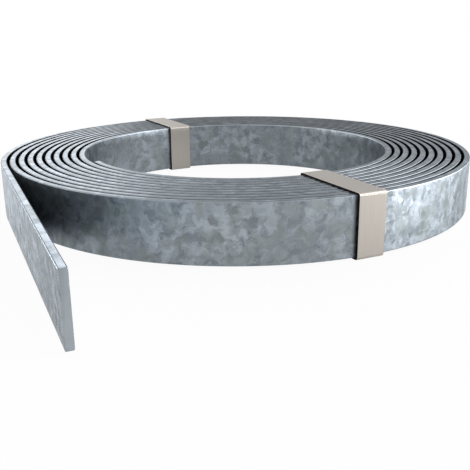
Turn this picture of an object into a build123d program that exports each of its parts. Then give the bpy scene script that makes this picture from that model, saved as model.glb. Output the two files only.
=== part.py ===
"""Galvanized steel strip wound into a flat coil and held by two straps.

The strip is one rolled length. It lies on edge in a spiral of quarter arcs, from an inner end that
shows in the eye of the coil to a straight tail that runs off the outermost turn along -Y.
The origin is on the axis of the coil, on the surface that the straps stand on. Lengths are in mm.
"""

import math
import os

from build123d import *

# Strip
strip_width = 30.0
strip_thickness = 3.5
edge_bevel = 0.45

# Winding, counted from the inner end outwards and counter-clockwise seen from above
turns = 10
turn_gap = 1.4
bore_radius = 88.9
inner_end_angle = 4.4
tail_length = 177.0

# Straps
strap_width = 15.0
strap_thickness = 1.0
strap_inside_bend = 0.6
strap_slack = 0.1
front_strap_angle = 272.7
back_strap_angle = 94.4

# Worked out from the sizes above
QUARTER = 90.0
QUARTERS_PER_TURN = 4
FULL_TURN = QUARTER * QUARTERS_PER_TURN
FIRST_ANGLE = 180.0
CUT_ENDS = 2
pitch = strip_thickness + turn_gap
radius_step = pitch / QUARTERS_PER_TURN
quarters = turns * QUARTERS_PER_TURN
strip_bottom = strap_thickness
strap_stand_off = strap_inside_bend + strap_slack


def arc_centre(quarter):
    """Centre of one quarter arc: the arcs take turns about the four corners of a small square."""
    corners = [(1, -1), (1, 1), (-1, 1), (-1, -1)]
    x, y = corners[quarter % QUARTERS_PER_TURN]
    return Vector(x, y) * (radius_step / 2)


def arc_radius(quarter):
    """Radius of the strip's inner face on one quarter arc."""
    return bore_radius + quarter * radius_step


def reach(angle, quarter):
    """Distance from the axis, in one direction, to the strip's inner face on a quarter arc."""
    centre = arc_centre(quarter)
    direction = Vector(1, 0).rotate(Axis.Z, angle)
    along = centre.dot(direction)
    across = centre.cross(direction).Z
    return along + math.sqrt(arc_radius(quarter) ** 2 - across**2)


def draw_wound_face(offset):
    """Draw one face of the strip, its arcs and then its tail, and return its first and last points."""
    for quarter in range(quarters):
        lag = inner_end_angle if quarter == 0 else 0
        begin = FIRST_ANGLE + quarter * QUARTER + lag
        arc = CenterArc(arc_centre(quarter), arc_radius(quarter) + offset, begin, QUARTER - lag)
        if quarter == 0:
            inner_end = arc @ 0
    tail = Line(arc @ 1, arc @ 1 + (arc % 1) * tail_length)
    return inner_end, tail @ 1


def faces_outwards(wall):
    """Whether a wall of the winding faces away from the axis of the coil."""
    return wall.normal_at().dot(wall.center()) > 0


# The strip: its plan is drawn once and raised to the strip's width. The long edges of its outer face,
# which show on every turn, are broken. Those of its inner face lie in the narrow gaps and stay square,
# because bevels there would add thousands of triangles to so long a strip.
with BuildPart() as strip:
    with BuildSketch(Plane.XY.offset(strip_bottom)):
        with BuildLine():
            inner_face = draw_wound_face(0)
            outer_face = draw_wound_face(strip_thickness)
            for one_end in zip(inner_face, outer_face):
                Line(*one_end)
        make_face()
    extrude(amount=strip_width)
    walls = strip.faces().filter_by(Axis.Z, reverse=True).sort_by(SortBy.AREA)[CUT_ENDS:]
    outer_walls = walls.filter_by(faces_outwards)
    chamfer(outer_walls.edges().filter_by(Axis.Z, reverse=True), edge_bevel)
strip.part.label = "strip"
parts = [strip.part]

# The straps: each is a closed flat band drawn around the section of all the turns at one angle.
# Its top and bottom lie on the strip's edges, and its bends keep its sides clear of the curved walls.
for name, angle in (("strap_front", front_strap_angle), ("strap_back", back_strap_angle)):
    first_quarter = int((angle - FIRST_ANGLE) % FULL_TURN // QUARTER)
    last_quarter = first_quarter + quarters - QUARTERS_PER_TURN
    bore_wall = reach(angle, first_quarter)
    outer_wall = reach(angle, last_quarter) + strip_thickness
    seat_inside = math.sqrt(bore_wall**2 - (strap_width / 2) ** 2) - strap_stand_off
    seat_outside = outer_wall + strap_stand_off
    seat_middle = ((seat_inside + seat_outside) / 2, strip_bottom + strip_width / 2)
    radial = Vector(1, 0).rotate(Axis.Z, angle)
    section = Plane(origin=(0, 0), x_dir=radial, z_dir=radial.rotate(Axis.Z, -QUARTER))
    with BuildPart() as strap:
        with BuildSketch(section):
            with Locations(seat_middle):
                seat = RectangleRounded(seat_outside - seat_inside, strip_width, strap_inside_bend)
            offset(seat, amount=strap_thickness)
            offset(seat, amount=0, mode=Mode.SUBTRACT)
        extrude(amount=strap_width / 2, both=True)
    strap.part.label = name
    parts.append(strap.part)

os.makedirs("parts", exist_ok=True)
for part in parts:
    export_step(part, f"parts/{part.label}.step")
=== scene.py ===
"""Looks of a galvanized steel strip coil: the wound strip, its two straps, and a plain pale stage.

Everything is in metres, in the frame of the part: the origin is on the coil's axis, at the level that
the straps stand on, +Z is up and the strip's tail runs along -Y.
"""

import math
from collections import namedtuple

import bpy
from mathutils import Euler, Matrix, Vector


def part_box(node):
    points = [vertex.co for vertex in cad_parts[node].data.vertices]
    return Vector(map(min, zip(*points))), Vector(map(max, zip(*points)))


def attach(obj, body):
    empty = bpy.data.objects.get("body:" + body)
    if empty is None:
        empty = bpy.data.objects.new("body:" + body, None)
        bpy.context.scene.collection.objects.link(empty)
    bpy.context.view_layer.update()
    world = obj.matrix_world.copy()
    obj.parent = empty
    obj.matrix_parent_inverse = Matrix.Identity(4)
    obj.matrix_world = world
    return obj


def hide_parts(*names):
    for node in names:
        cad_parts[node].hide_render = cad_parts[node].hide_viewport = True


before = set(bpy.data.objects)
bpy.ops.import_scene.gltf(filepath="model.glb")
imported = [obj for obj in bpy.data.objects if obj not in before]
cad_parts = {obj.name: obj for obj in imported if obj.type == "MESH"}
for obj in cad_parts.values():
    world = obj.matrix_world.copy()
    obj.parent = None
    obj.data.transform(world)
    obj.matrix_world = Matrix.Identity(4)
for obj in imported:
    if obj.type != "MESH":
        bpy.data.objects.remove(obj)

bl_info = {
    "name": "Galvanized strip coil",
    "version": (1, 0, 0),
    "blender": (4, 5, 0),
    "location": "View3D > Sidebar > Strip coil",
    "description": "Dresses a coil of galvanized steel strip and its straps, and sets a studio stage",
    "category": "Object",
}

MM = 0.001
QUARTERS_PER_TURN = 4
QUARTER = math.pi / 2
FIRST_ANGLE = math.pi
ROUND_STEPS = 4
UP = Vector((0, 0, 1))
WHITE = (1, 1, 1, 1)
RAYS_THAT_SEE_WHITE = ("Is Camera Ray", "Is Glossy Ray", "Is Transmission Ray")
# Sockets of a Mix node in colour mode: its factor and its two colours.
FACTOR, COLOUR_A, COLOUR_B = 0, 6, 7
# Shares of a row of the bake map that the strip fills, along and across it.
BAKE_ROW_LENGTH, BAKE_ROW_HEIGHT = 0.98, 0.95
# Where the inner end and the tail's end lie along the bake map's last row, which is half empty.
BAKE_INNER_END, BAKE_TAIL_END = 0.7, 0.5
# Widths of the zinc's patterns, and how far its outlines curl, as shares of a patch.
CURL_SHARE = 0.7
CURL_REACH_SHARE = 0.8
RIM_SHARE = 0.7
TINT_SHARE = 1.6
STRETCH_SHARE = 4.0
# What each pattern adds to the zinc's tone, which goes from 0 for dark zinc to 1 for light zinc.
BASE_TONE = -0.04
STRETCH_TONE = 0.5
CRYSTAL_TONE = 0.3
RIM_TONE = 0.15
GRAIN_TONE = 0.2
# How far a crystal's face leans at most, as a slope, along each axis and either way.
CRYSTAL_LEAN = 0.025
# How much of a cut end is bare steel.
BARE_STEEL = 0.7
# How soon the painted shade between the turns stops short of an outer face's edges: the higher, the
# sooner.
GAP_SHADE_POWER = 8
# How narrow the painted dark reflection on the crest of a long edge is, and what brings its middle to 1.
CREST_POWER = 8
CREST_GAIN = 5
# Sideways lean of a strap's slit sides: at least half a right angle, less a little for rounding.
SIDE_LEAN = math.cos(QUARTER / 2) - 0.01
# Length of a streak in the straps' coat, in its own widths.
STREAK_LENGTH = 40
# Distances from the coil's axis, in metres, over which the floor brightens to full white: as the camera
# sees it, and as the zinc reflects it.
FLOOR_SEEN = (0.15, 0.35)
FLOOR_REFLECTED = (0.08, 0.20)
FLOOR_HALF_WIDTH = 6.0
SENSOR_WIDTH_MM = 36
NEAR_CLIP = 10 * MM
# The studio lights: elevation in degrees, width and height in metres.
LIGHTS = {
    "right_strip": (2, 0.7, 0.05),
    "right_box": (27, 0.95, 0.55),
    "top_box": (60, 0.9, 0.7),
    "left_strip": (2, 0.5, 0.05),
    "back_box": (21, 0.65, 0.32),
}

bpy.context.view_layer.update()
STRIP_LOW, STRIP_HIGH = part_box("strip")
STRAP_LOW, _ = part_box("strap_front")

# A place along the strip's middle: its point, its outward direction, the run so far and quarters turned.
Station = namedtuple("Station", "point out run turned")


def linear(hex_colour):
    """Linear red, green and blue of an sRGB hex colour."""
    channels = [int(hex_colour[i:i + 2], 16) / 255 for i in (1, 3, 5)]
    return tuple(c / 12.92 if c <= 0.04045 else ((c + 0.055) / 1.055) ** 2.4 for c in channels)


def colour(name, hex_colour, description):
    """A colour property with an sRGB hex default."""
    return bpy.props.FloatVectorProperty(
        name=name, description=description, default=linear(hex_colour),
        subtype="COLOR", size=3, min=0, max=1,
    )


def length(name, metres, description):
    """A length property in metres."""
    return bpy.props.FloatProperty(
        name=name, description=description, default=metres,
        unit="LENGTH", subtype="DISTANCE", precision=5,
    )


def angle(name, degrees, description):
    """An angle property, with its default in degrees."""
    return bpy.props.FloatProperty(
        name=name, description=description, default=math.radians(degrees),
        unit="ROTATION", subtype="ANGLE",
    )


def number(name, value, description, unit="NONE"):
    """A number property."""
    return bpy.props.FloatProperty(name=name, description=description, unit=unit, default=value)


class COIL_PG_strip(bpy.types.PropertyGroup):
    """Sizes and finish of the wound strip."""

    width: length("Width", STRIP_HIGH.z - STRIP_LOW.z, "Width of the strip, which stands on edge")
    thickness: length("Thickness", 3.5 * MM, "Thickness of the strip")
    turns: bpy.props.IntProperty(name="Turns", description="Number of turns", default=10, min=2)
    turn_gap: length("Turn gap", 1.4 * MM, "Clear gap between neighbouring turns")
    bore_radius: length("Bore radius", 88.9 * MM, "Radius of the first quarter turn's inner face")
    inner_end_angle: angle("Inner end angle", 4.4, "How far past the -X side the strip begins")
    tail_length: length("Tail length", 177 * MM, "Length of the straight tail")
    edge_round: length("Edge radius", 0.6 * MM, "Radius of the strip's long edges, rounded in rolling")
    end_round: length("Cut end radius", 0.3 * MM, "Radius of the edges of the two cut ends")
    arc_step: angle("Arc step", 2.0, "Angle between the mesh's cross-sections")
    patch: length("Patch size", 6.5 * MM, "Usual width of a cloud of like zinc crystals")
    crystal: length("Crystal size", 2 * MM, "Usual width of a zinc crystal")
    grain: length("Grain size", 0.5 * MM, "Width of the fine grain in a crystal")
    zinc_dark: colour("Dark zinc", "#71787D", "Crystals that turn away from the light")
    zinc_light: colour("Light zinc", "#A1A9B1", "Crystals that face the light")
    zinc_green: colour("Grey green zinc", "#7F8785", "Tint of some of the clouds")
    zinc_edge: colour("Edge zinc", "#979FA6", "Even zinc on the rounded long edges")
    # The dark line along the crest of the long edges is a painted reflection.
    crest_dark_reflection: colour("Painted crest reflection", "#3A3F44", "Painted dark reflection on the crest of the long edges")
    cut_steel: colour("Cut steel", "#A4ACB1", "Bare steel of the two sheared ends")
    # The shade between the turns is painted: a dark matt colour on the faces there, where shade falls.
    gap_shade_colour: colour("Painted gap shade", "#15171A", "Painted shade on the faces that lie between the turns")
    gap_shade_fade: angle("Gap shade fade", 9, "How far in from an open end of a gap the painted shade fades away")


class COIL_PG_strap(bpy.types.PropertyGroup):
    """Sizes and finish of the two straps."""

    width: length("Width", 15 * MM, "Width of a strap")
    thickness: length("Thickness", STRIP_LOW.z - STRAP_LOW.z, "Thickness of a strap")
    inside_bend: length("Inside bend", 0.6 * MM, "Inside radius of a strap's bends")
    slack: length("Slack", 0.1 * MM, "Room between a bend and the strip's edge")
    edge_round: length("Edge radius", 0.2 * MM, "Radius of a strap's long edges")
    front_angle: angle("Front strap angle", 272.7, "Where the front strap crosses the coil, about +Z")
    back_angle: angle("Back strap angle", 94.4, "Where the back strap crosses the coil, about +Z")
    speck: length("Speck size", 0.5 * MM, "Width of the specks in the coat")
    streak: length("Streak width", 0.4 * MM, "Width of the faint streaks along the coat")
    coat_dark: colour("Dark coat", "#B0AAA3", "Specks and streaks of the warm grey coat")
    coat_light: colour("Light coat", "#B8B2AB", "Ground of the warm grey coat")
    # The slit sides are coloured near black, with lighter specks.
    slit_side_dark: colour("Dark slit side", "#050505", "Near black on the slit sides")
    slit_side_specks: colour("Slit side specks", "#171412", "Lighter specks in that black")


class COIL_PG_stage(bpy.types.PropertyGroup):
    """Camera, floor and lights. Bearings are about +Z and start at +X."""

    focal_length: number("Focal length", 53.085, f"On a square {SENSOR_WIDTH_MM} mm sensor", "CAMERA")
    distance: length("Camera distance", 428.592 * MM, "Level distance from the coil's axis")
    height: length("Camera height", 107.296 * MM, "Height of the camera over the floor")
    bearing: angle("Camera bearing", -113.463, "Where the camera stands round the coil")
    pan: angle("Camera pan", 0.291, "Turn of the camera to the left of the coil's axis")
    tilt: angle("Camera tilt", -17.385, "Tilt of the camera, negative downwards")
    roll: angle("Camera roll", -0.613, "Roll of the camera about its line of sight")
    floor: colour("Floor", "#E6E6E6", "Colour of the floor")
    floor_glow: number("Floor glow", 0.95, "Share of white that the floor shows close to the coil")
    reflected_glow: number("Reflected glow", 0.45, "The same share, as the metal reflects the eye's floor")
    sky: number("Sky", 0.1, "How strongly the world lights matt surfaces")
    light_distance: length("Light distance", 0.8, "Distance from the coil's axis to each light")
    right_strip_bearing: angle("Right strip bearing", -28.5, "Where the strip light on the right stands")
    right_strip_power: number("Right strip power", 5.6, "Power of the strip light on the right", "POWER")
    right_box_bearing: angle("Right softbox bearing", -15, "Where the softbox on the right stands")
    right_box_power: number("Right softbox power", 8.2, "Power of the softbox on the right", "POWER")
    top_box_bearing: angle("Top softbox bearing", 120, "Where the softbox overhead leans in from")
    top_box_power: number("Top softbox power", 3.0, "Power of the softbox overhead", "POWER")
    left_strip_bearing: angle("Left strip bearing", 148, "Where the strip light on the left stands")
    left_strip_power: number("Left strip power", 5.5, "Power of the strip light on the left", "POWER")
    back_box_bearing: angle("Back softbox bearing", 103, "Where the softbox at the back stands")
    back_box_power: number("Back softbox power", 2.1, "Power of the softbox at the back", "POWER")


def add_node(tree, kind, inputs=None, **settings):
    """Add a node with its settings, and set its inputs to values or link them to nodes or sockets."""
    node = tree.nodes.new(kind)
    for name, value in settings.items():
        setattr(node, name, value)
    for name, value in (inputs or {}).items():
        if isinstance(value, bpy.types.Node):
            value = next(socket for socket in value.outputs if socket.enabled)
        if isinstance(value, bpy.types.NodeSocket):
            tree.links.new(value, node.inputs[name])
        else:
            node.inputs[name].default_value = value
    return node


def new_material(name):
    """An empty node material and its tree."""
    material = bpy.data.materials.new(name)
    material.use_nodes = True
    material.node_tree.nodes.clear()
    return material, material.node_tree


def add_object(name, data):
    """Link a new object to the scene."""
    thing = bpy.data.objects.new(name, data)
    bpy.context.scene.collection.objects.link(thing)
    return thing


def build_mesh(name, vertices, faces, normals, maps):
    """A smooth mesh with a normal, and a place on each UV map, for every corner of its faces."""
    mesh = bpy.data.meshes.new(name)
    mesh.from_pydata(vertices, [], faces)
    if mesh.validate(clean_customdata=False):
        raise RuntimeError(f"{name} has broken faces")
    for map_name, places in maps.items():
        layer = mesh.uv_layers.new(name=map_name)
        layer.uv.foreach_set("vector", [value for place in places for value in place])
    mesh.shade_smooth()
    mesh.normals_split_custom_set(normals)
    return mesh


def add_values(mesh, name, values):
    """Give a mesh a named value at each of its vertices."""
    mesh.attributes.new(name, "FLOAT", "POINT").data.foreach_set("value", values)


def rounded_outline(corners, radius):
    """Points and normals round a rounded rectangle, counter-clockwise from its lower right corner."""
    outline = []
    for index, corner in enumerate(corners):
        for i in range(ROUND_STEPS + 1):
            heading = (index - 1) * QUARTER + QUARTER * i / ROUND_STEPS
            normal = Vector((math.cos(heading), math.sin(heading)))
            outline.append((Vector(corner) + normal * radius, normal))
    return outline


def distances_round(outline):
    """Distance from an outline's first point to each of its points and, at last, all the way round."""
    distances = [0.0]
    for (here, _), (after, _) in zip(outline, outline[1:] + outline[:1]):
        distances.append(distances[-1] + (after - here).length)
    return distances


# Winding

def radius_step(strip):
    """How much the radius grows from one quarter arc to the next."""
    return (strip.thickness + strip.turn_gap) / QUARTERS_PER_TURN


def arc_centre(strip, quarter):
    """Centre of one quarter arc: the arcs take turns about the four corners of a small square."""
    x, y = ((1, -1), (1, 1), (-1, 1), (-1, -1))[quarter % QUARTERS_PER_TURN]
    return Vector((x, y, 0)) * (radius_step(strip) / 2)


def inner_radius(strip, quarter):
    """Radius of the strip's inner face on one quarter arc."""
    return strip.bore_radius + quarter * radius_step(strip)


def winding(strip):
    """Stations along the strip, from its inner end through all quarter arcs to the end of its tail."""
    stations = []
    run = 0.0
    quarters = strip.turns * QUARTERS_PER_TURN
    for quarter in range(quarters):
        lag = strip.inner_end_angle if quarter == 0 else 0.0
        steps = math.ceil((QUARTER - lag) / strip.arc_step)
        radius = inner_radius(strip, quarter) + strip.thickness / 2
        for i in range(steps):
            turn = (QUARTER - lag) * i / steps
            turned = quarter + (lag + turn) / QUARTER
            heading = FIRST_ANGLE + turned * QUARTER
            out = Vector((math.cos(heading), math.sin(heading), 0))
            point = arc_centre(strip, quarter) + out * radius
            stations.append(Station(point, out, run + radius * turn, turned))
        run += radius * (QUARTER - lag)
    out = Vector((-1, 0, 0))
    leave = arc_centre(strip, quarter) + out * radius
    steps = math.ceil(strip.tail_length / (radius * strip.arc_step))
    for i in range(steps + 1):
        along = strip.tail_length * i / steps
        stations.append(Station(leave + Vector((0, -along, 0)), out, run + along, quarters))
    return stations


def strip_outline(strip):
    """The strip's section, outwards and upwards from the middle of its lower edge."""
    side = strip.thickness / 2 - strip.edge_round
    low, high = strip.edge_round, strip.width - strip.edge_round
    return rounded_outline(((side, low), (side, high), (-side, high), (-side, low)), strip.edge_round)


def strip_rings(strip):
    """Rings of (vertex, normal) pairs along the strip and over its rounded ends, and their stations."""
    first, *between, last = winding(strip)
    turns = [QUARTER * i / ROUND_STEPS for i in range(ROUND_STEPS + 1)]
    bends = [(first, turn, -UP.cross(first.out)) for turn in reversed(turns)]
    bends += [(station, 0.0, Vector()) for station in between]
    bends += [(last, turn, UP.cross(last.out)) for turn in turns]
    rings = []
    for station, turn, facing in bends:
        point = station.point - facing * strip.end_round * (1 - math.sin(turn))
        ring = []
        for place, normal in strip_outline(strip):
            place = place - normal * strip.end_round * (1 - math.cos(turn))
            level = station.out * normal.x + UP * normal.y
            vertex = point + station.out * place.x + UP * (STRIP_LOW.z + place.y)
            ring.append((vertex, level * math.cos(turn) + facing * math.sin(turn)))
        rings.append(ring)
    return rings, [station for station, turn, facing in bends]


def hidden_share(strip, turned, normal):
    """How far a spot on the strip is hidden by a neighbouring turn, from 0 to 1, which sets the painted
    shade between the turns.
    """
    quarters = strip.turns * QUARTERS_PER_TURN
    if normal.x >= 0:
        share = normal.x ** GAP_SHADE_POWER
        inside = quarters - QUARTERS_PER_TURN - turned
    else:
        share = math.sqrt(-normal.x)
        inner_end = strip.inner_end_angle / QUARTER
        inside = min(turned - inner_end - QUARTERS_PER_TURN, quarters - turned)
    return share * min(max(inside * QUARTER / strip.gap_shade_fade, 0.0), 1.0)


def edge_share(normal):
    """How far a spot is on a rounded long edge: 0 on the strip's faces and 1 half way round."""
    return abs(2 * normal.x * normal.y)


def crest_share(normal):
    """How far a spot is on the crest of a long edge, beside the strip's top or bottom, where a dark
    reflection is painted.
    """
    return abs(CREST_GAIN * normal.x * normal.y ** CREST_POWER)


def strip_mesh(strip):
    """The strip's mesh: its rounded section carried along the winding, with two cut ends.

    Its map strip_length is in metres along and round the strip. Its map OFBake lays the strip in rows.
    """
    rings, stations = strip_rings(strip)
    outline = strip_outline(strip)
    around = distances_round(outline)
    count = len(outline)
    # The bake map's last row stays half empty for the two cut ends.
    rows = strip.turns + 1
    row_length = stations[-1].run / (rows - 0.5)
    faces, normals, metres, layout = [], [], [], []
    for ring in range(len(rings) - 1):
        row = int(stations[ring].run / row_length)
        for i in range(count):
            for step, k in ((0, i), (1, i), (1, i + 1), (0, i + 1)):
                run = stations[ring + step].run
                metres.append((run, around[k]))
                across = BAKE_ROW_HEIGHT * around[k] / around[-1]
                layout.append(((run / row_length - row) * BAKE_ROW_LENGTH, (row + across) / rows))
                normals.append(rings[ring + step][k % count][1])
            j = (i + 1) % count
            here, after = ring * count, (ring + 1) * count
            faces.append([here + i, after + i, after + j, here + j])
    for ring, way, start in ((0, 1, BAKE_INNER_END), (len(rings) - 1, -1, BAKE_TAIL_END)):
        point, out, run, turned = stations[ring]
        corners = range(count)[::way]
        faces.append([ring * count + i for i in corners])
        for i in corners:
            place = outline[i][0]
            metres.append((run + place.x, place.y))
            across = 0.5 + place.x / around[-1]
            layout.append((start + place.y / row_length, (rows - 1 + across) / rows))
            normals.append(UP.cross(out) * -way)
    vertices = [vertex for ring in rings for vertex, normal in ring]
    maps = {"strip_length": metres, "OFBake": layout}
    mesh = build_mesh("galvanized_strip", vertices, faces, normals, maps)
    spots = [(station.turned, normal) for station in stations for place, normal in outline]
    # Marks where the shade between the turns is painted.
    add_values(mesh, "between_turns", [hidden_share(strip, turned, normal) for turned, normal in spots])
    add_values(mesh, "long_edge", [edge_share(normal) for turned, normal in spots])
    add_values(mesh, "edge_crest", [crest_share(normal) for turned, normal in spots])
    ends = (0, len(rings) - 1)
    cut = [float(ring in ends) for ring in range(len(rings)) for spot in outline]
    add_values(mesh, "cut_end", cut)
    return mesh


def zinc_spangle(strip):
    """Hot-dip galvanized steel: zinc that froze in flat crystals, each with its own shade and lean.

    To the eye it is a satin metal in soft grey clouds, some bluish and some greenish, with feathery rims.
    The long edges are even, with a painted dark reflection along the crest, the cut ends plainer, and the
    faces between turns darkened by painted shade.
    """
    material, tree = new_material("hot_dip_zinc_spangle")
    place = add_node(tree, "ShaderNodeUVMap", uv_map="strip_length")
    # The bath was moving while the zinc froze, so the outlines of clouds and crystals curl.
    drift = add_node(tree, "ShaderNodeTexNoise", {
        "Vector": place, "Scale": 1 / (CURL_SHARE * strip.patch), "Detail": 3.0,
    }, noise_dimensions="2D")
    bent = add_node(tree, "ShaderNodeVectorMath", {
        0: drift.outputs["Color"], 1: (CURL_REACH_SHARE * strip.patch,) * 3, 2: place,
    }, operation="MULTIPLY_ADD")
    cloud = add_node(tree, "ShaderNodeTexNoise", {
        "Vector": bent, "Scale": 1 / strip.patch, "Detail": 3.0,
    }, noise_dimensions="2D")
    crystal = add_node(tree, "ShaderNodeTexVoronoi", {
        "Vector": bent, "Scale": 1 / strip.crystal,
    }, voronoi_dimensions="2D").outputs["Color"]
    # Feathery rims, where one crystal grew over the next, follow the middle level of another cloud.
    ridge = add_node(tree, "ShaderNodeTexNoise", {
        "Vector": bent, "Scale": 1 / (RIM_SHARE * strip.patch), "Detail": 1.0,
    }, noise_dimensions="2D")
    off_level = add_node(tree, "ShaderNodeMath", {0: ridge, 1: 0.5}, operation="SUBTRACT")
    off_ridge = add_node(tree, "ShaderNodeMath", {0: off_level}, operation="ABSOLUTE")
    rim = add_node(tree, "ShaderNodeMapRange", {
        "Value": off_ridge, "From Min": 0.04, "From Max": 0.0, "To Max": RIM_TONE,
    }, interpolation_type="SMOOTHSTEP")
    grain = add_node(tree, "ShaderNodeTexNoise", {
        "Vector": place, "Scale": 1 / strip.grain, "Detail": 2.0,
    }, noise_dimensions="2D")
    split = add_node(tree, "ShaderNodeSeparateColor", {"Color": crystal})
    # A cloud has a few levels with sharp borders, because all of a crystal reflects alike.
    tone = add_node(tree, "ShaderNodeMapRange", {
        "Value": cloud, "From Min": 0.32, "From Max": 0.65, "To Min": -0.5, "To Max": 0.5, "Steps": 2.0,
    }, interpolation_type="STEPPED")
    # Some stretches of the strip froze evenly: they are darker and show few borders.
    stretch = add_node(tree, "ShaderNodeTexNoise", {
        "Vector": place, "Scale": 1 / (STRETCH_SHARE * strip.patch), "Detail": 1.0,
    }, noise_dimensions="2D")
    lively = add_node(tree, "ShaderNodeMapRange", {
        "Value": stretch, "From Min": 0.35, "From Max": 0.6, "To Min": 0.25, "To Max": 0.7,
    })
    ground = add_node(tree, "ShaderNodeMath", {
        0: stretch, 1: STRETCH_TONE, 2: BASE_TONE,
    }, operation="MULTIPLY_ADD")
    tone = add_node(tree, "ShaderNodeMath", {0: tone, 1: lively, 2: ground}, operation="MULTIPLY_ADD")
    tone = add_node(tree, "ShaderNodeMath", {
        0: split.outputs["Red"], 1: CRYSTAL_TONE, 2: tone,
    }, operation="MULTIPLY_ADD")
    tone = add_node(tree, "ShaderNodeMath", {0: tone, 1: rim}, operation="ADD")
    tone = add_node(tree, "ShaderNodeMath", {
        0: grain, 1: GRAIN_TONE, 2: tone,
    }, operation="MULTIPLY_ADD", use_clamp=True)
    zinc = add_node(tree, "ShaderNodeMix", {
        FACTOR: tone, COLOUR_A: (*strip.zinc_dark, 1), COLOUR_B: (*strip.zinc_light, 1),
    }, data_type="RGBA")
    tint = add_node(tree, "ShaderNodeTexNoise", {
        "Vector": bent, "Scale": 1 / (TINT_SHARE * strip.patch),
    }, noise_dimensions="2D")
    tint = add_node(tree, "ShaderNodeMapRange", {
        "Value": tint, "From Min": 0.5, "From Max": 0.62, "To Max": 0.45,
    }, interpolation_type="SMOOTHSTEP")
    # Molten zinc draws back from the long edges: they freeze evenly. A thin dark line along their crest is
    # a painted reflection of dark surroundings.
    edge = add_node(tree, "ShaderNodeAttribute", attribute_name="long_edge").outputs["Fac"]
    crest = add_node(tree, "ShaderNodeAttribute", attribute_name="edge_crest").outputs["Fac"]
    # The strip was sheared to length after its bath, which drew some zinc over the bare steel.
    cut = add_node(tree, "ShaderNodeAttribute", attribute_name="cut_end").outputs["Fac"]
    steel = add_node(tree, "ShaderNodeMath", {0: cut, 1: BARE_STEEL}, operation="MULTIPLY")
    # Painted shade: the faces between the turns, where shade falls, are coloured dark and matt.
    hidden = add_node(tree, "ShaderNodeAttribute", attribute_name="between_turns").outputs["Fac"]
    gap_shade_share = add_node(tree, "ShaderNodeMapRange", {
        "Value": hidden, "From Min": 0.25, "From Max": 0.65,
    }, interpolation_type="SMOOTHSTEP")
    coats = (
        (tint, strip.zinc_green), (edge, strip.zinc_edge), (crest, strip.crest_dark_reflection),
        (steel, strip.cut_steel), (gap_shade_share, strip.gap_shade_colour),
    )
    for share, coat in coats:
        zinc = add_node(tree, "ShaderNodeMix", {
            FACTOR: share, COLOUR_A: zinc, COLOUR_B: (*coat, 1),
        }, data_type="RGBA")
    # The painted shade is no metal, and it is matt.
    bare = add_node(tree, "ShaderNodeMath", {0: 1.0, 1: gap_shade_share}, operation="SUBTRACT")
    rough = add_node(tree, "ShaderNodeMapRange", {
        "Value": split.outputs["Green"], "To Min": 0.34, "To Max": 0.42,
    })
    lean = add_node(tree, "ShaderNodeVectorMath", {0: crystal, 1: (0.5, 0.5, 0.5)}, operation="SUBTRACT")
    normal = add_node(tree, "ShaderNodeNewGeometry").outputs["Normal"]
    facet = add_node(tree, "ShaderNodeVectorMath", {
        0: lean, 1: (2 * CRYSTAL_LEAN,) * 3, 2: normal,
    }, operation="MULTIPLY_ADD")
    facet = add_node(tree, "ShaderNodeVectorMath", {0: facet}, operation="NORMALIZE")
    # Zinc that has weathered a little reflects less at a glancing angle than clean metal does.
    skin = add_node(tree, "ShaderNodeBsdfPrincipled", {
        "Base Color": zinc, "Metallic": bare, "Roughness": rough, "Normal": facet,
        "Specular IOR Level": 0.0, "Specular Tint": (0.55, 0.55, 0.56, 1),
    })
    add_node(tree, "ShaderNodeOutputMaterial", {"Surface": skin})
    return material


class COIL_OT_wind_strip(bpy.types.Operator):
    """Wind the galvanized strip from its inner end to its straight tail"""

    bl_idname = "coil.wind_strip"
    bl_label = "Wind strip"

    def execute(self, context):
        strip = context.scene.coil_strip
        if 2 * strip.edge_round >= strip.thickness:
            raise ValueError("The edge radius has to be under half the strip's thickness")
        piece = add_object("galvanized_strip", strip_mesh(strip))
        piece.data.materials.append(zinc_spangle(strip))
        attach(piece, "root")
        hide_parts("strip")
        return {"FINISHED"}


# Straps

def wall_distance(strip, heading, quarter):
    """Distance from the axis, in one direction, to the strip's inner face on a quarter arc."""
    centre = arc_centre(strip, quarter)
    direction = Vector((math.cos(heading), math.sin(heading), 0))
    across = centre.cross(direction).z
    return centre.dot(direction) + math.sqrt(inner_radius(strip, quarter) ** 2 - across ** 2)


def strap_loop(strip, strap, heading):
    """The strap's path round the turns, at the middle of its thickness: radius, height and normal."""
    first = int((heading - FIRST_ANGLE) % (2 * math.pi) // QUARTER)
    final = first + (strip.turns - 1) * QUARTERS_PER_TURN
    stand_off = strap.inside_bend + strap.slack
    inside = math.sqrt(wall_distance(strip, heading, first) ** 2 - (strap.width / 2) ** 2) - stand_off
    outside = wall_distance(strip, heading, final) + strip.thickness + stand_off
    bend = strap.inside_bend
    low, high = STRIP_LOW.z + bend, STRIP_LOW.z + strip.width - bend
    corners = ((outside - bend, low), (outside - bend, high), (inside + bend, high), (inside + bend, low))
    return rounded_outline(corners, bend + strap.thickness / 2)


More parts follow.
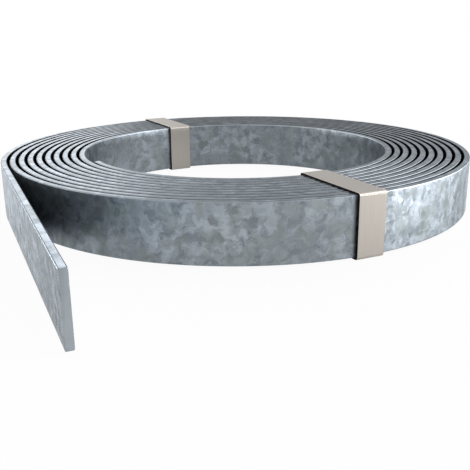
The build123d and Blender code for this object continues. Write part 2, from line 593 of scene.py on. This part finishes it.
def strap_mesh(name, strip, strap, heading):
    """A strap's mesh: a flat section with rounded edges carried round its closed loop.

    Its map strap_length is in metres along the loop and round the section.
    Its slit sides wear the second finish.
    """
    across, out = strap.width / 2 - strap.edge_round, strap.thickness / 2 - strap.edge_round
    corners = ((across, -out), (across, out), (-across, out), (-across, -out))
    section = rounded_outline(corners, strap.edge_round)
    radial = Vector((math.cos(heading), math.sin(heading), 0))
    tangent = UP.cross(radial)
    loop = strap_loop(strip, strap, heading)
    along, around = distances_round(loop), distances_round(section)
    count = len(section)
    vertices, leans = [], []
    for place, way in loop:
        for point, normal in section:
            spot = place + way * point.y
            vertices.append(radial * spot.x + UP * spot.y + tangent * point.x)
            leans.append((radial * way.x + UP * way.y) * normal.y + tangent * normal.x)
    faces, normals, metres = [], [], []
    for ring in range(len(loop)):
        for i in range(count):
            face = []
            for step, k in ((0, i), (1, i), (1, i + 1), (0, i + 1)):
                face.append((ring + step) % len(loop) * count + k % count)
                metres.append((along[ring + step], around[k]))
                normals.append(leans[face[-1]])
            faces.append(face)
    mesh = build_mesh(name, vertices, faces, normals, {"strap_length": metres})
    for polygon in mesh.polygons:
        sideways = [abs(leans[v].dot(tangent)) for v in polygon.vertices]
        polygon.material_index = int(min(sideways) > SIDE_LEAN)
    return mesh


def coated_steel(strap):
    """Coated strapping steel: a warm grey metallic lacquer, rolled on and baked.

    To the eye it is smooth, with a satin metal shine, fine specks and faint streaks along its length.
    """
    material, tree = new_material("coated_strapping_steel")
    place = add_node(tree, "ShaderNodeUVMap", uv_map="strap_length")
    drawn = add_node(tree, "ShaderNodeVectorMath", {
        0: place, 1: (1 / STREAK_LENGTH, 1, 1),
    }, operation="MULTIPLY")
    streaks = add_node(tree, "ShaderNodeTexNoise", {
        "Vector": drawn, "Scale": 1 / strap.streak, "Detail": 2.0,
    }, noise_dimensions="2D")
    specks = add_node(tree, "ShaderNodeTexNoise", {
        "Vector": place, "Scale": 1 / strap.speck, "Detail": 3.0,
    }, noise_dimensions="2D")
    tone = add_node(tree, "ShaderNodeMath", {0: streaks, 1: specks}, operation="ADD")
    tone = add_node(tree, "ShaderNodeMapRange", {"Value": tone, "From Min": 0.7, "From Max": 1.3})
    coat = add_node(tree, "ShaderNodeMix", {
        FACTOR: tone, COLOUR_A: (*strap.coat_dark, 1), COLOUR_B: (*strap.coat_light, 1),
    }, data_type="RGBA")
    rough = add_node(tree, "ShaderNodeMapRange", {"Value": specks, "To Min": 0.26, "To Max": 0.32})
    skin = add_node(tree, "ShaderNodeBsdfPrincipled", {
        "Base Color": coat, "Metallic": 0.75, "Roughness": rough, "Specular Tint": (0.55, 0.55, 0.55, 1),
    })
    add_node(tree, "ShaderNodeOutputMaterial", {"Surface": skin})
    return material


def slit_steel(strap):
    """Slit strapping steel: the bare edges where the knives cut it, coloured near black.

    To the eye they are matt black lines beside the coat, with a few worn specks.
    """
    material, tree = new_material("oxidised_slit_steel")
    place = add_node(tree, "ShaderNodeUVMap", uv_map="strap_length")
    specks = add_node(tree, "ShaderNodeTexNoise", {
        "Vector": place, "Scale": 1 / strap.speck, "Detail": 3.0,
    }, noise_dimensions="2D")
    tone = add_node(tree, "ShaderNodeMapRange", {"Value": specks, "From Min": 0.45, "From Max": 0.75})
    slit_black = add_node(tree, "ShaderNodeMix", {
        FACTOR: tone, COLOUR_A: (*strap.slit_side_dark, 1), COLOUR_B: (*strap.slit_side_specks, 1),
    }, data_type="RGBA")
    rough = add_node(tree, "ShaderNodeMapRange", {"Value": specks, "To Min": 0.7, "To Max": 0.95})
    skin = add_node(tree, "ShaderNodeBsdfPrincipled", {
        "Base Color": slit_black, "Roughness": rough, "Specular IOR Level": 0.1,
    })
    add_node(tree, "ShaderNodeOutputMaterial", {"Surface": skin})
    return material


class COIL_OT_bend_straps(bpy.types.Operator):
    """Bend the two straps round all the turns"""

    bl_idname = "coil.bend_straps"
    bl_label = "Bend straps"

    def execute(self, context):
        strip, strap = context.scene.coil_strip, context.scene.coil_strap
        if 2 * strap.edge_round >= strap.thickness:
            raise ValueError("The edge radius has to be under half the strap's thickness")
        finishes = (coated_steel(strap), slit_steel(strap))
        for node, heading in (("strap_front", strap.front_angle), ("strap_back", strap.back_angle)):
            name = node + "_band"
            piece = add_object(name, strap_mesh(name, strip, strap, heading))
            for finish in finishes:
                piece.data.materials.append(finish)
            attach(piece, "root")
            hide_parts(node)
        return {"FINISHED"}


# Stage

def sees_white(tree):
    """1 for rays that show the background, from the camera or by reflection, and 0 for the rest."""
    path = add_node(tree, "ShaderNodeLightPath")
    total = 0.0
    for name in RAYS_THAT_SEE_WHITE:
        total = add_node(tree, "ShaderNodeMath", {
            0: total, 1: path.outputs[name],
        }, operation="ADD", use_clamp=True)
    return total


def stage_floor(stage):
    """A plain pale floor: white to the camera, with the coil's shadow kept faintly."""
    material, tree = new_material("matt_studio_floor")
    matt = add_node(tree, "ShaderNodeBsdfDiffuse", {"Color": (*stage.floor, 1)})
    glow = add_node(tree, "ShaderNodeEmission", {"Color": WHITE, "Strength": 1.0})
    place = add_node(tree, "ShaderNodeNewGeometry").outputs["Position"]
    away = add_node(tree, "ShaderNodeVectorMath", {0: place}, operation="LENGTH")
    near, far = FLOOR_SEEN
    seen = add_node(tree, "ShaderNodeMapRange", {
        "Value": away, "From Min": near, "From Max": far, "To Min": stage.floor_glow, "To Max": 1.0,
    })
    # The coil keeps light off the floor in its eye and close beside it. The metal reflects that floor.
    near, far = FLOOR_REFLECTED
    reflected = add_node(tree, "ShaderNodeMapRange", {
        "Value": away, "From Min": near, "From Max": far, "To Min": stage.reflected_glow, "To Max": 1.0,
    })
    direct = add_node(tree, "ShaderNodeLightPath").outputs["Is Camera Ray"]
    reflected = add_node(tree, "ShaderNodeMath", {0: reflected, 1: direct}, operation="MAXIMUM")
    amount = add_node(tree, "ShaderNodeMath", {0: seen, 1: reflected}, operation="MULTIPLY")
    share = add_node(tree, "ShaderNodeMath", {0: amount, 1: sees_white(tree)}, operation="MULTIPLY")
    skin = add_node(tree, "ShaderNodeMixShader", {0: share, 1: matt, 2: glow})
    add_node(tree, "ShaderNodeOutputMaterial", {"Surface": skin})
    mesh = bpy.data.meshes.new("floor")
    corners = [Vector((x, y, 0)) * FLOOR_HALF_WIDTH for x, y in ((-1, -1), (1, -1), (1, 1), (-1, 1))]
    mesh.from_pydata(corners, [], [(0, 1, 2, 3)])
    mesh.materials.append(material)
    add_object("floor", mesh)


def stage_light(stage, name):
    """A soft rectangular light that faces the coil."""
    elevation, width, height = LIGHTS[name]
    bearing = getattr(stage, f"{name}_bearing")
    data = bpy.data.lights.new(name, "AREA")
    data.shape = "RECTANGLE"
    data.size = width
    data.size_y = height
    data.energy = getattr(stage, f"{name}_power")
    light = add_object(name, data)
    away = Euler((0, -math.radians(elevation), bearing)).to_matrix() @ Vector((1, 0, 0))
    light.location = away * stage.light_distance
    light.rotation_euler = away.to_track_quat("Z", "Y").to_euler()


def stage_world(stage):
    """An even white world, which lights matt surfaces less than it shows."""
    world = bpy.data.worlds.new("studio")
    bpy.context.scene.world = world
    world.use_nodes = True
    tree = world.node_tree
    tree.nodes.clear()
    strength = add_node(tree, "ShaderNodeMapRange", {
        "Value": sees_white(tree), "To Min": stage.sky, "To Max": 1.0,
    })
    glow = add_node(tree, "ShaderNodeBackground", {"Color": WHITE, "Strength": strength})
    add_node(tree, "ShaderNodeOutputWorld", {"Surface": glow})


def stage_camera(stage):
    """A camera at the photo's viewing angle."""
    data = bpy.data.cameras.new("camera")
    data.lens = stage.focal_length
    data.sensor_width = SENSOR_WIDTH_MM
    data.sensor_fit = "HORIZONTAL"
    data.clip_start = NEAR_CLIP
    camera = add_object("camera", data)
    level = Vector((math.cos(stage.bearing), math.sin(stage.bearing), 0))
    spot = level * stage.distance + UP * stage.height
    heading = Euler((QUARTER + stage.tilt, 0, stage.bearing + QUARTER + stage.pan)).to_matrix().to_4x4()
    camera.matrix_world = Matrix.Translation(spot) @ heading @ Matrix.Rotation(stage.roll, 4, "Z")
    bpy.context.scene.camera = camera


class COIL_OT_set_stage(bpy.types.Operator):
    """Set the floor, the lights and the camera"""

    bl_idname = "coil.set_stage"
    bl_label = "Set stage"

    def execute(self, context):
        stage = context.scene.coil_stage
        context.scene.view_settings.view_transform = "Standard"
        stage_floor(stage)
        stage_world(stage)
        for name in LIGHTS:
            stage_light(stage, name)
        stage_camera(stage)
        return {"FINISHED"}


class COIL_PT_panel(bpy.types.Panel):
    """Lists the coil's operators and settings"""

    bl_label = "Strip coil"
    bl_idname = "COIL_PT_panel"
    bl_space_type = "VIEW_3D"
    bl_region_type = "UI"
    bl_category = "Strip coil"

    def draw(self, context):
        for operator in OPERATORS:
            self.layout.operator(operator.bl_idname)
        for group in (context.scene.coil_strip, context.scene.coil_strap, context.scene.coil_stage):
            box = self.layout.box()
            for name in group.__annotations__:
                box.prop(group, name)


SETTINGS = {"coil_strip": COIL_PG_strip, "coil_strap": COIL_PG_strap, "coil_stage": COIL_PG_stage}
OPERATORS = (COIL_OT_wind_strip, COIL_OT_bend_straps, COIL_OT_set_stage)
CLASSES = (*SETTINGS.values(), *OPERATORS, COIL_PT_panel)


def register():
    """Register the classes and hang the settings on the scene."""
    for cls in CLASSES:
        bpy.utils.register_class(cls)
    for name, group in SETTINGS.items():
        setattr(bpy.types.Scene, name, bpy.props.PointerProperty(type=group))


def unregister():
    """Take the settings off the scene and unregister the classes."""
    for name in SETTINGS:
        delattr(bpy.types.Scene, name)
    for cls in reversed(CLASSES):
        bpy.utils.unregister_class(cls)


def main():
    """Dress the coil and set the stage."""
    register()
    bpy.ops.coil.wind_strip()
    bpy.ops.coil.bend_straps()
    bpy.ops.coil.set_stage()


if __name__ == "__main__":
    main()
